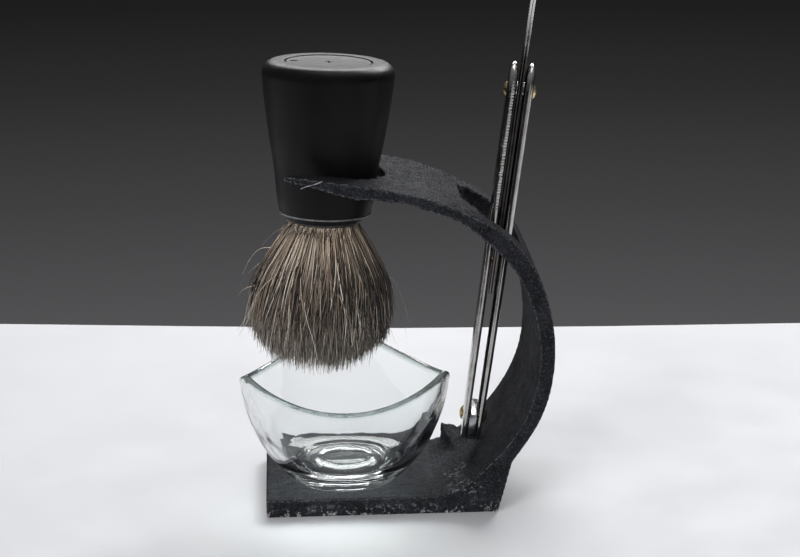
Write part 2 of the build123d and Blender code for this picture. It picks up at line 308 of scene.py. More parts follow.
def bowl_glass():
    """Clear pressed glass with a faint green body."""
    n = Nodes("bowl_glass", (1.0, 1.0, 1.0), 0.015)
    n.bsdf.inputs["IOR"].default_value = 1.5
    # The fire-polished rim gets a diffuse grey-green: the wall's green, with painted light standing in for the light
    # the rim gathers and scatters.
    rim = n.painted("rim")
    rim_painted_light = n.maths("MULTIPLY", rim, n.span(n.noise(150, 3), 0.3, 0.7, 0.16, 0.42))
    n.link(n.maths("SUBTRACT", 1.0, rim_painted_light), n.bsdf.inputs["Transmission Weight"])
    body_tint = n.ramp(n.axis("Z"), [(0.010, (0.965, 0.985, 0.985)), (0.044, (0.985, 1.0, 0.997))])
    n.colour(n.mix(rim, body_tint, (0.60, 0.70, 0.68)))
    n.rough(n.span(n.noise(260, 4), 0.35, 0.75, 0.004, 0.03))
    n.bump((n.noise(70, 2), 0.00012), (n.noise(330, 2), 0.00002))
    output = n.tree.nodes["Material Output"]
    clear = n.node("ShaderNodeBsdfTransparent")
    clear.inputs["Color"].default_value = (0.93, 0.96, 0.95, 1.0)
    path = n.node("ShaderNodeLightPath")
    share = n.node("ShaderNodeMixShader")
    n.link(path.outputs["Is Shadow Ray"], share.inputs[0])
    n.link(n.bsdf.outputs[0], share.inputs[1])
    n.link(clear.outputs[0], share.inputs[2])
    n.link(share.outputs[0], output.inputs["Surface"])
    body = n.node("ShaderNodeVolumeAbsorption")
    body.inputs["Color"].default_value = (0.74, 0.86, 0.88, 1.0)
    body.inputs["Density"].default_value = 4.5
    n.link(body.outputs[0], output.inputs["Volume"])
    return n.material


def polished_chrome():
    """The scales: bright, streaked along their length, stained in patches."""
    n = Nodes("polished_chrome", (0.72, 0.71, 0.69), 0.1, 1.0)
    streak = n.noise(1, 3, 0.5, n.mapped((700, 700, 24), (0, -RAZOR_LEAN, 0)))
    stain = n.noise(190, 5)
    # The faces that meet the blade holder are made dark and rough.
    inside = n.painted("inside")
    shine = n.ramp(stain, [(0.25, (0.38, 0.355, 0.32)), (0.5, (0.60, 0.59, 0.57)), (0.8, (0.70, 0.70, 0.70))])
    n.colour(n.mix(inside, shine, (0.022, 0.020, 0.018)))
    rough = n.maths("ADD", n.span(stain, 0.3, 0.75, 0.05, 0.16), n.span(streak, 0.35, 0.7, 0.0, 0.10))
    n.rough(n.maths("ADD", rough, n.maths("MULTIPLY", inside, 0.5)))
    n.bump((streak, 0.00003), (n.noise(900, 2), 0.000012))
    return n.material


def holder_chrome_painted_shade():
    """The blade holder: painted shade makes it dark between the scales; the tail above them is bright."""
    n = Nodes("holder_chrome_painted_shade", (0.4, 0.39, 0.37), 0.16, 1.0)
    stain = n.noise(260, 5)
    streak = n.noise(1, 3, 0.5, n.mapped((600, 600, 30), (0, -RAZOR_LEAN, 0)))
    # Painted shade: dark below the scales' top, normal chrome above it.
    painted_shade_colour = n.ramp(stain, [(0.3, (0.10, 0.085, 0.08)), (0.7, (0.20, 0.185, 0.18))])
    bright = n.ramp(stain, [(0.25, (0.60, 0.57, 0.52)), (0.6, (0.86, 0.85, 0.83))])
    height = n.maths("ADD", n.axis("Z"), n.span(stain, 0.3, 0.7, -0.003, 0.003))
    n.colour(n.mix(n.ramp(height, [(0.146, 0.0), (0.153, 1.0)]), painted_shade_colour, bright))
    n.rough(n.maths("ADD", n.span(stain, 0.3, 0.75, 0.08, 0.2), n.span(streak, 0.35, 0.7, 0.0, 0.12)))
    n.bump((streak, 0.00004), (n.noise(420, 3), 0.00004))
    return n.material


def blade_steel():
    n = Nodes("blade_steel", (0.6, 0.61, 0.63), 0.25, 1.0)
    grind = n.noise(1, 3, 0.5, n.mapped((60, 60, 2600)))
    n.colour(n.ramp(grind, [(0.3, (0.48, 0.49, 0.51)), (0.7, (0.66, 0.67, 0.69))]))
    n.rough(n.span(grind, 0.3, 0.7, 0.18, 0.34))
    n.bump((grind, 0.00001))
    return n.material


def brass():
    n = Nodes("brass", (0.80, 0.58, 0.24), 0.22, 1.0)
    tarnish = n.noise(700, 5)
    n.colour(n.ramp(tarnish, [(0.3, (0.62, 0.42, 0.17)), (0.52, (0.90, 0.69, 0.33)), (0.8, (0.96, 0.82, 0.50))]))
    n.rough(n.span(tarnish, 0.3, 0.75, 0.2, 0.42))
    n.bump((n.noise(2500, 3), 0.00002))
    return n.material


def paper_floor():
    """A plain pale sheet."""
    n = Nodes("paper_floor", (0.86, 0.86, 0.87), 0.6)
    n.colour(n.ramp(n.noise(4, 4), [(0.3, (0.655, 0.66, 0.685)), (0.75, (0.705, 0.71, 0.73))]))
    n.rough(n.span(n.noise(30, 4), 0.3, 0.7, 0.5, 0.7))
    n.bump((n.noise(600, 3), 0.00004))
    return n.material


printed = printed_plastic()
handle_satin = satin_handle()
thread = loose_plastic()
ferrule_black = black_ring()
bead_finish = bead_painted_highlight()
resin = setting_resin()
hair = badger_hair()
core = hair_core()
glass = bowl_glass()
chrome = polished_chrome()
leaf_chrome = holder_chrome_painted_shade()
steel = blade_steel()
brass_finish = brass()


# ------------------------------------------------------------------ mesh helpers
def add_mesh(name, points, faces, material, body, replaces=()):
    """A smooth piece from points in millimetres, kept inside the CAD's own box."""
    mesh = bpy.data.meshes.new(name)
    points = np.clip(np.asarray(points, float) * MM, box_low, box_high)
    mesh.from_pydata(points.tolist(), [], faces)
    mesh.update()
    shade_smooth(mesh)
    mesh.materials.append(material)
    piece = bpy.data.objects.new(name, mesh)
    scene.collection.objects.link(piece)
    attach(piece, body)
    if replaces:
        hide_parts(*replaces)
    return piece


def paint(piece, name, amounts):
    """Gives each point of a piece a grey amount, or four values, that its material reads."""
    values = np.array(amounts, np.float32)
    if values.ndim == 1:
        values = np.repeat(values, 4)
    layer = piece.data.color_attributes.new(name, "FLOAT_COLOR", "POINT")
    layer.data.foreach_set("color", values.ravel())


def shade_smooth(mesh):
    mesh.polygons.foreach_set("use_smooth", np.ones(len(mesh.polygons), bool))


def bake_modifiers(piece):
    """Replaces a piece's mesh with its own modified result."""
    bpy.context.view_layer.update()
    graph = bpy.context.evaluated_depsgraph_get()
    result = bpy.data.meshes.new_from_object(piece.evaluated_get(graph))
    piece.modifiers.clear()
    piece.data = result


def grid_faces(rows, columns, first=0):
    """Quads between consecutive closed rings of points."""
    faces = []
    for r in range(rows - 1):
        for c in range(columns):
            d = (c + 1) % columns
            a = first + r * columns
            faces.append((a + c, a + d, a + columns + d, a + columns + c))
    return faces


def smooth_profile(points, step):
    """A Catmull-Rom curve through 2-D points, sampled about every step."""
    points = np.asarray(points, float)
    padded = np.vstack([2 * points[0] - points[1], points, 2 * points[-1] - points[-2]])
    out = []
    for i in range(1, len(padded) - 2):
        p0, p1, p2, p3 = padded[i - 1:i + 3]
        count = max(2, int(np.linalg.norm(p2 - p1) / step))
        for k in range(count):
            t = k / count
            out.append(0.5 * (2 * p1 + (p2 - p0) * t + (2 * p0 - 5 * p1 + 4 * p2 - p3) * t * t
                              + (3 * p1 - p0 - 3 * p2 + p3) * t ** 3))
    out.append(points[-1])
    return np.array(out)


def arc(centre, radius, start, end, count):
    """Points on a 2-D arc, angles in degrees."""
    angles = np.radians(np.linspace(start, end, count))
    return [(centre[0] + radius * math.cos(a), centre[1] + radius * math.sin(a)) for a in angles]


# ------------------------------------------------------------------ brush
lean_right = math.radians(2.4)
lean_back = math.radians(1.6)
brush_origin = np.array([-16.0, 0.0, 107.0])
brush_up = np.array([math.sin(lean_right), math.sin(lean_back), 1.0])
brush_up /= np.linalg.norm(brush_up)
brush_side = np.array([brush_up[2], 0.0, -brush_up[0]])
brush_side /= np.linalg.norm(brush_side)
brush_back = np.cross(brush_up, brush_side)


def brush_point(radius, angle, height):
    """A point from the brush's own axis, in millimetres."""
    return (brush_origin + brush_up * height
            + radius * (math.cos(angle) * brush_side + math.sin(angle) * brush_back))


def lathe(name, profile, material, replaces=(), segments=144, wobble=None):
    """A closed turned piece about the brush's axis; the profile starts and ends on the axis."""
    points = [brush_point(0, 0, profile[0][1])]
    for r, h in profile[1:-1]:
        for s in range(segments):
            angle = 2 * math.pi * s / segments
            extra = wobble(angle, h) if wobble else 0.0
            points.append(brush_point(max(r + extra, 0.01), angle, h))
    points.append(brush_point(0, 0, profile[-1][1]))
    rings = len(profile) - 2
    faces = grid_faces(rings, segments, 1)
    last = len(points) - 1
    for s in range(segments):
        t = (s + 1) % segments
        faces.append((0, 1 + t, 1 + s))
        base = 1 + (rings - 1) * segments
        faces.append((last, base + s, base + t))
    return add_mesh(name, points, faces, material, "brush", replaces)


# Heights along the brush count from its origin, level with the fork.
handle_bottom, handle_top = -13.6, 36.6
shoulder_round = 4.0
handle_side = smooth_profile([(14.45, handle_bottom + 0.5), (14.75, -11.4), (15.5, -8.0), (16.9, 3.0), (18.5, 12.0),
                              (20.3, 24.0), (21.2, handle_top - 4.2)], 1.2)
wall = [(r, h) for r, h in handle_side if h > -10.6]
shoulder = arc((21.2 - shoulder_round, handle_top - shoulder_round), shoulder_round, 2, 78, 12)
handle_profile = (
    [(0, handle_bottom + 12.0), (11.4, handle_bottom + 12.0), (11.45, handle_bottom - 0.2),
     (11.8, handle_bottom - 0.6), (13.0, handle_bottom - 0.55), (13.25, handle_bottom - 0.3),
     (13.35, -12.5), (13.5, -12.35), (14.3, -12.3), (14.65, -12.1), (14.78, -11.8), (14.85, -11.2)]
    + wall + shoulder
    + [(17.0, handle_top - 0.02), (14.6, handle_top), (14.12, handle_top - 0.05), (13.98, handle_top - 0.2),
       (13.9, handle_top - 1.9), (13.5, handle_top - 2.0), (0, handle_top - 2.0)]
)
lathe("brush_handle_shell", handle_profile, handle_satin, ("brush_handle",))

lathe("handle_foot_bead",
      [(0, -12.4), (14.0, -12.4), (14.55, -12.42), (14.86, -12.3), (14.98, -12.05), (14.86, -11.8), (14.5, -11.75),
       (0, -11.75)], bead_finish)

cap_top = handle_top - 0.22
cap_profile = [(0, cap_top - 1.6), (13.4, cap_top - 1.6), (13.72, cap_top - 1.3), (13.74, cap_top - 0.25),
               (13.5, cap_top - 0.03), (12.6, cap_top + 0.03), (12.3, cap_top - 0.02), (6.0, cap_top - 0.02),
               (0, cap_top - 0.02)]


def cap_disc():
    """The end cap: a disc with a pry hole near its rim and a small pressed cross."""
    cap = lathe("handle_end_disc", cap_profile, handle_satin, ("handle_end_cap",))
    pry_hole, cross_bar, cross_post = (-11.0, 1.0, 1.4, 0.9), (0.0, -0.2, 1.6, 0.42), (0.0, -0.2, 0.42, 1.6)
    around = 24
    angles = np.linspace(0, 2 * math.pi, around, endpoint=False)
    cutters = []
    for number, (x, y, sx, sy) in enumerate((pry_hole, cross_bar, cross_post)):
        mesh = bpy.data.meshes.new("cut")
        ring = [(x + sx * math.cos(a), y + sy * math.sin(a)) for a in angles]
        points = []
        for h in (cap_top - 0.55, cap_top + 0.6):
            points += [brush_origin + brush_up * h + brush_side * u + brush_back * v for u, v in ring]
        faces = grid_faces(2, around) + [tuple(reversed(range(around))), tuple(range(around, 2 * around))]
        mesh.from_pydata((np.array(points) * MM).tolist(), [], faces)
        cutter = bpy.data.objects.new(f"cutter_{number}", mesh)
        scene.collection.objects.link(cutter)
        cutters.append(cutter)
        cut = cap.modifiers.new(f"cut_{number}", "BOOLEAN")
        cut.operation = "DIFFERENCE"
        cut.object = cutter
        cut.solver = "EXACT"
    bake_modifiers(cap)
    cap.data.set_sharp_from_angle(angle=math.radians(28))
    for cutter in cutters:
        bpy.data.objects.remove(cutter)


cap_disc()

ferrule_bottom = handle_bottom - 1.8
lathe("ferrule_ring",
      [(0, handle_bottom + 3.6), (10.4, handle_bottom + 3.6), (10.4, ferrule_bottom + 0.2),
       (10.6, ferrule_bottom), (11.0, ferrule_bottom + 0.02), (11.32, ferrule_bottom + 0.35),
       (11.4, ferrule_bottom + 0.8), (11.4, handle_bottom + 11.5), (0, handle_bottom + 11.6)],
      ferrule_black, ("knot_ferrule",))

# The knot's outline, and the wider curve its outer hairs would follow if they were longer.
knot_outline = smooth_profile([(10.4, ferrule_bottom + 0.6), (16.4, -24.0), (21.6, -33.5), (23.5, -44.5),
                               (23.0, -51.0), (20.8, -56.0), (15.5, -61.2), (8.5, -64.6), (0, -65.9)], 0.5)
flare = smooth_profile([(10.4, ferrule_bottom + 0.6), (16.4, -24.0), (21.6, -33.5), (23.9, -45.0), (24.3, -54.0),
                        (24.0, -62.0), (23.4, -70.0)], 0.5)


def flare_radius(h):
    return float(np.interp(-h, -flare[:, 1], flare[:, 0]))


def outline_radius(h):
    return float(np.interp(-h, -knot_outline[:, 1], knot_outline[:, 0]))


core_profile = [(0, ferrule_bottom + 3.0), (9.6, ferrule_bottom + 3.0)]
core_profile += [(r * 0.86, h * 0.92 if h < -50 else h) for r, h in knot_outline[2:-1:3]]
core_profile += [(0, -60.4)]
lathe("bristle_core", core_profile, core, (), 96,
      lambda angle, h: 0.7 * noise.noise(Vector((9 * math.cos(angle), 9 * math.sin(angle), h * 0.05))))


def hair_path(share, angle, extra, spread, steps):
    """Radius, angle and height along one hair from the ferrule to the knot's face, before it joins a lock."""
    end, knot_bottom = -20.0, -65.8
    while share * flare_radius(end) < outline_radius(end) and end > knot_bottom:
        end -= 0.4
    end += extra
    path = []
    start = ferrule_bottom + 2.0
    for k in range(steps + 1):
        t = k / steps
        h = start + (end - start) * t
        r = share * flare_radius(min(h, ferrule_bottom + 0.6))
        path.append((r * (1.0 + spread * t * t), angle, h))
    return path


def hair_mesh(name, count, share_low, share_high, steps, thickness, replaces=()):
    """Three-sided tapering hairs. Share is how far out a hair stands, from 0 on the axis to 1 at the edge."""
    points, faces, colours = [], [], []
    lock_count, lock_hold = 420, 0.45
    taper_from = 0.72
    locks = [(rng.uniform(0, 2 * math.pi), math.sqrt(rng.uniform(share_low ** 2, share_high ** 2)),
              rng.normal(0, 1.0), rng.uniform(-0.18, 0.18)) for _ in range(lock_count)]
    for i in range(count):
        lock_angle, lock_share, lock_length, lock_kind = locks[i % lock_count]
        angle = lock_angle + rng.normal(0, 0.12)
        share = min(max(lock_share + rng.normal(0, 0.05), share_low), share_high)
        path = hair_path(share, angle, rng.normal(2.5, 1.1) + 0.8 * lock_length, rng.normal(0.0, 0.018), steps)
        kind, shade = min(max(rng.uniform() + lock_kind, 0.0), 1.0), rng.uniform()
        wave_phase, wave_size = rng.uniform(0, 6.3), rng.uniform(0.1, 0.75)
        drift = rng.normal(0, 0.24 if i % 5 == 0 else 0.08)
        width = thickness * rng.uniform(0.7, 1.25)
        first = len(points)
        for k, (r, a, h) in enumerate(path):
            t = k / steps
            a = a + (lock_angle - a) * lock_hold * t * t + drift * t * t
            r = r + wave_size * t * math.sin(wave_phase + 3.1 * t)
            r = max(r, 0.05)
            a = a + 0.02 * t * math.sin(wave_phase * 2 + 5 * t)
            centre = brush_point(r, a, h) + np.array([-1.0 * t * t, 0.0, 0.0])
            out = math.cos(a) * brush_side + math.sin(a) * brush_back
            across = np.cross(brush_up, out)
            w = width * (0.75 + 0.6 * t - 1.15 * max(0.0, t - taper_from) / (1.0 - taper_from) * 0.95)
            for corner in range(3):
                turn = wave_phase + 2 * math.pi * corner / 3
                points.append(centre + w * (math.cos(turn) * out + math.sin(turn) * across))
                colours.append((t, kind, shade, 1.0))
        faces += grid_faces(steps + 1, 3, first)
        faces.append((first + 2, first + 1, first))
        tip = first + 3 * steps
        faces.append((tip, tip + 1, tip + 2))
    piece = add_mesh(name, points, faces, hair, "brush", replaces)
    paint(piece, "hair", colours)


hair_mesh("bristles_outer", 3900, 0.86, 1.0, 8, 0.15, ("bristle_knot",))
hair_mesh("bristles_inner", 2600, 0.0, 0.9, 7, 0.17)


def loose_hairs():
    """Bent hairs that stand away from the knot."""
    # Each is its angle in degrees, the heights where it leaves and ends, its reach and its curl.
    strays = [(180, -17.5, -23.5, 20.0, 1.5), (186, -40.0, -53.0, 32.0, -4.0), (176, -37.0, -50.0, 31.5, 3.0),
              (192, -44.0, -57.0, 30.0, -2.0), (170, -30.0, -44.0, 30.0, 2.0), (200, -36.0, -52.0, 29.5, 2.5),
              (4, -36.0, -50.0, 30.0, -2.0), (-8, -32.0, -48.0, 28.5, 2.0), (12, -40.0, -55.0, 28.5, 1.0),
              (100, -35.0, -50.0, 28.5, 1.0), (80, -38.0, -52.0, 28.0, -1.0), (260, -36.0, -54.0, 27.5, 1.5),
              (285, -33.0, -50.0, 27.0, -1.0), (40, -34.0, -50.0, 28.0, 1.5), (140, -36.0, -51.0, 28.5, -1.5),
              (215, -30.0, -46.0, 28.0, 2.0), (330, -35.0, -52.0, 27.5, 2.0), (183, -25.0, -33.0, 26.5, 3.0)]
    points, faces, colours = [], [], []
    steps, around = 12, 4
    for number, (degrees, leave, end, reach, curl) in enumerate(strays):
        angle = math.radians(degrees)
        start_radius = outline_radius(leave) - 1.2
        first = len(points)
        for k in range(steps + 1):
            t = k / steps
            r = start_radius + (reach - start_radius) * (t ** 0.8)
            h = leave + (end - leave) * t + curl * math.sin(math.pi * t)
            a = angle + 0.12 * math.sin(2.6 * t + number)
            centre = brush_point(r, a, h)
            out = math.cos(a) * brush_side + math.sin(a) * brush_back
            across = np.cross(brush_up, out)
            w = 0.12 * (1.1 - 0.7 * t)
            for corner in range(around):
                turn = 2 * math.pi * corner / around
                points.append(centre + w * (math.cos(turn) * brush_up + math.sin(turn) * across))
                colours.append((0.4 + 0.6 * t, 0.95 if number % 2 else 0.2, 0.7, 1.0))
        faces += grid_faces(steps + 1, around, first)
        faces.append((first + 3, first + 2, first + 1, first))
        tip = first + around * steps
        faces.append((tip, tip + 1, tip + 2, tip + 3))
    piece = add_mesh("loose_hairs", points, faces, hair, "brush")
    paint(piece, "hair", colours)


loose_hairs()

# ------------------------------------------------------------------ glass bowl
bowl_x, bowl_y, bowl_floor = -11.2, -3.0, 5.8
rim_corner, rim_corner_height = 37.6, 47.4
wall_height, wall_thickness = 44.2, 2.1
side_angles = np.radians([30, 150, 270])
rim_dips = [8.6, 8.6, 10.0]
taper = math.tan(math.radians(6.0))
bowl_wall = smooth_profile([(17.6, 0.0), (18.4, 0.7), (22.3, 4.8), (27.2, 11.3), (30.6, 18.5), (33.2, 25.3),
                            (35.4, 32.2), (38.2, wall_height)], 0.3)


def soft_min(a, b, k):
    """The smaller of two lengths, blended where they are within k of each other."""
    blend = max(k - abs(a - b), 0.0) / k
    return min(a, b) - blend * blend * k * 0.25


def side_limit(angle, z):
    """How far the bowed three-sided outline lets the wall reach at this height."""
    best = 1e9
    corner, side = rim_corner + 1.0, 33.0
    half = corner * math.sin(math.radians(60))
    foot = corner * math.cos(math.radians(60))
    bulge = side - foot
    radius = (half * half + bulge * bulge) / (2 * bulge)
    for mid in side_angles:
        offset = side - radius
        delta = angle - mid
        b = offset * math.cos(delta)
        reach = b + math.sqrt(max(radius * radius - offset * offset + b * b, 0.0))
        if math.cos(delta) > 0.3:
            best = min(best, reach)
    return best - (bowl_floor + wall_height - z) * taper


def wall_radius(angle, z):
    turned = float(np.interp(z - bowl_floor, bowl_wall[:, 1], bowl_wall[:, 0]))
    return soft_min(turned, side_limit(angle, z), 1.6)


def rim_height(angle):
    """Height of the dipping rim, found together with the wall's own flare."""
    half = rim_corner * math.sin(math.radians(60))
    z = rim_corner_height
    for _ in range(12):
        r = wall_radius(angle, z) - 1.1
        heights = []
        for mid, dip in zip(side_angles, rim_dips):
            if math.cos(angle - mid) > 0.3:
                radius = (half * half + dip * dip) / (2 * dip)
                t = r * math.sin(angle - mid)
                centre = rim_corner_height - dip + radius
                heights.append(centre - math.sqrt(max(radius * radius - t * t, 0.0)))
        z = min(min(heights), rim_corner_height)
    return z


def glass_bowl():
    """Pressed glass: foot ring, thick base with rings, thin walls and a fire-polished rim."""
    segments, wall_rows, rim_rows = 240, 44, 9
    outer_wall_foot, inner_wall_foot = 0.7, 7.2
    rim_round = wall_thickness / 2
    outer_base = [(0.02, 2.1), (3.0, 2.05), (6.0, 1.9), (9.0, 1.65), (11.5, 1.4), (13.2, 1.25), (14.0, 0.75),
                  (14.6, 0.15), (15.4, 0.0), (17.0, 0.0), (17.7, 0.25)]
    inner_base = [(17.6, 6.5), (16.0, 6.05), (14.9, 5.95), (14.3, 5.85), (13.9, 5.55), (13.5, 5.3), (12.6, 5.22),
                  (10.4, 5.2), (9.8, 5.28), (9.4, 5.45), (9.0, 5.3), (8.6, 5.05), (7.6, 5.0), (4.0, 5.02),
                  (0.02, 5.05)]
    rings, on_rim = [], []
    angles = np.linspace(0, 2 * math.pi, segments, endpoint=False)
    rims = [rim_height(a) - 0.02 for a in angles]

    def ring(radius_height):
        """One turn around the bowl; radius_height gives radius and height from an angle and its rim."""
        points = []
        for a, rim in zip(angles, rims):
            r, z = radius_height(a, rim)
            points.append((bowl_x + r * math.cos(a), bowl_y + r * math.sin(a), z))
            on_rim.append(min(max((z - rim + 2.0) / 1.2, 0.0), 1.0))
        rings.append(points)

    for r, h in outer_base:
        ring(lambda a, rim, r=r, h=h: (r, bowl_floor + h))
    for k in range(wall_rows + 1):

        def outside(a, rim, t=k / wall_rows):
            z = bowl_floor + outer_wall_foot + t * (rim - rim_round - bowl_floor - outer_wall_foot)
            return wall_radius(a, z), z
        ring(outside)
    for k in range(1, rim_rows):
        turn = math.pi * k / rim_rows
        ring(lambda a, rim, turn=turn: (
            wall_radius(a, rim - rim_round) - rim_round + rim_round * math.cos(turn),
            rim - rim_round + rim_round * math.sin(turn)))
    for k in range(wall_rows + 1):
        t = 1 - k / wall_rows
        thick = wall_thickness + 1.4 * (1 - t) ** 3

        def inside(a, rim, t=t, thick=thick):
            z = bowl_floor + inner_wall_foot + t * (rim - rim_round - bowl_floor - inner_wall_foot)
            return wall_radius(a, z) - thick, z
        ring(inside)
    for r, h in inner_base:
        ring(lambda a, rim, r=r, h=h: (r, bowl_floor + h))
    points = [p for one in rings for p in one]
    faces = grid_faces(len(rings), segments)
    faces.append(tuple(reversed(range(segments))))
    faces.append(tuple(range((len(rings) - 1) * segments, len(rings) * segments)))
    piece = add_mesh("pressed_glass_bowl", points, faces, glass, "bowl", ("glass_bowl",))
    paint(piece, "rim", on_rim)


glass_bowl()

# ------------------------------------------------------------------ razor
razor_twist = math.radians(5.8)
razor_toe = np.array([30.4, 0.0, 15.9])
razor_up = np.array([math.sin(RAZOR_LEAN), 0.0, math.cos(RAZOR_LEAN)])
razor_right = np.cross(razor_up, [-math.sin(razor_twist), -math.cos(razor_twist), 0.0])
razor_right /= np.linalg.norm(razor_right)
razor_back = -np.cross(razor_right, razor_up)
scale_length, pivot_height, toe_half, head_half = 127.5, 118.5, 8.6, 6.4
toe_height = 9.0
head_round = 4.6
scale_gap = 1.2
teeth_bottom, teeth_top, tooth_pitch = 80.0, 124.0, 0.95
face_heights = [0.0, 30.0, 70.0, 105.0, scale_length]
face_offsets = [3.3, 3.8, 4.1, 4.3, 4.3]


def razor_point(across, height, side):
    """A point from the razor's toe: towards the back, up its length and to its right."""
    return razor_toe + razor_back * across + razor_up * height + razor_right * side


def scale_half(height):
    """Half a scale's depth, front to back, at a height: round toe, hollow sides, round head."""
    if height < toe_height:
        radius = (toe_half ** 2 + toe_height ** 2) / (2 * toe_height)
        return math.sqrt(max(radius ** 2 - (radius - height) ** 2, 0.0)) * toe_half / math.sqrt(
            max(radius ** 2 - (radius - toe_height) ** 2, 1e-9))
    if height > pivot_height:
        t = (height - pivot_height) / (scale_length - pivot_height)
        return head_half * math.sqrt(max(1 - t * t, 0.0))
    t = (height - toe_height) / (pivot_height - toe_height)
    return toe_half + (head_half - toe_half) * t - 0.35 * math.sin(math.pi * t)


def razor_scale(side, name, node):
    """A rounded metal scale. The left one (side -1) has a row of file marks on its front's inner edge."""
    ends, around, corner = 20, 36, 0.34
    heights = list(toe_height * (1 - np.cos(np.linspace(0.06, math.pi / 2, ends))))
    heights += list(np.arange(9.4, teeth_bottom, 1.2)) + list(np.arange(teeth_bottom, teeth_top, 0.2))
    heights += list(teeth_top + (scale_length - teeth_top) * np.sin(np.linspace(0, math.pi / 2 - 0.02, ends)))
    points, hidden = [], []
    for h in heights:
        half = max(scale_half(h), 0.2)
        outer = float(np.interp(h, face_heights, face_offsets))
        middle, thick = (outer + scale_gap) / 2, (outer - scale_gap) / 2
        notch = 0.0
        if side < 0 and teeth_bottom < h < teeth_top:
            worn = min(max(0.45 + 1.3 * noise.noise(Vector((h * 0.55, 0.0, 0.0))), 0.1), 1.1)
            shift = 3.2 * noise.noise(Vector((h * 0.4, 4.0, 0.0)))
            notch = 0.24 * worn * (0.5 + 0.5 * math.cos(2 * math.pi * h / tooth_pitch + shift))
        # The head is rounded over in both directions.
        over = max(h - (scale_length - head_round), 0.0) / head_round
        thick *= 0.05 + 0.95 * math.sqrt(max(1 - over * over, 0.0))
        for k in range(around):
            a = 2 * math.pi * k / around
            c, s = math.cos(a), math.sin(a)
            u = math.copysign(abs(c) ** (corner if half > 2 else 0.8), c)
            v = math.copysign(abs(s) ** corner, s)
            crown = (0.7 if side < 0 else 1.2) * v * v * min(half / 3.0, 1.0)
            width = half - crown - notch * (c < 0) * min(max(0.15 - 1.5 * v, 0.0), 1.0)
            # A shallow groove runs down the outer face.
            groove = 0.22 * math.exp(-((u + 0.72) / 0.09) ** 2) if s > 0 and 14 < h < 108 else 0.0
            points.append(razor_point(u * width, h, side * (middle + v * thick - groove)))
            hidden.append(float(v < -0.8 and abs(u) < 0.97))
    faces = grid_faces(len(heights), around)
    faces.append(tuple(reversed(range(around))))
    faces.append(tuple(range((len(heights) - 1) * around, len(heights) * around)))
    if side < 0:
        faces = [tuple(reversed(f)) for f in faces]
    piece = add_mesh(name, points, faces, chrome, "razor", (node,))
    paint(piece, "inside", hidden)


razor_scale(-1, "left_scale_shell", "razor_left_scale")
razor_scale(1, "right_scale_shell", "razor_right_scale")


def smooth_copy(node, name, material, bevel):
    """A CAD node's own shape with its edges broken, standing for that node."""
    source = frame["nodes"][node]
    mesh = source.data.copy()
    mesh.materials.clear()
    mesh.materials.append(material)
    piece = bpy.data.objects.new(name, mesh)
    scene.collection.objects.link(piece)
    weld = piece.modifiers.new("weld", "WELD")
    weld.merge_threshold = WELD_GAP
    edge = piece.modifiers.new("edge", "BEVEL")
    edge.width = bevel * MM
    edge.segments = 3
    edge.limit_method = "ANGLE"
    edge.angle_limit = math.radians(35)
    edge.use_clamp_overlap = True
    bake_modifiers(piece)
    shade_smooth(piece.data)
    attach(piece, source["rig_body"])
    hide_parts(node)


smooth_copy("scale_spacer", "spacer_wedge", steel, 0.25)
smooth_copy("holder_left_leaf", "left_leaf", leaf_chrome, 0.22)
smooth_copy("holder_right_leaf", "right_leaf", leaf_chrome, 0.22)


def smooth_node(node, material):
    """Gives a CAD node that stays its finish, with soft shading across its facets."""
    mesh = frame["nodes"][node].data
    mesh.materials.clear()
    mesh.materials.append(material)
    shade_smooth(mesh)
    mesh.polygons.foreach_set("material_index", np.zeros(len(mesh.polygons), np.int32))


for node, finish in (("pivot_pin", brass_finish), ("end_pin", brass_finish), ("stop_pin", brass_finish),
                     ("pivot_washers", steel), ("half_blade", steel), ("knot_resin_plug", resin)):
    smooth_node(node, finish)


# ------------------------------------------------------------------ printed stand
def fade(values, low, width):
    """0 below low, 1 above low + width, straight between."""
    return np.clip((values - low) / width, 0, 1)


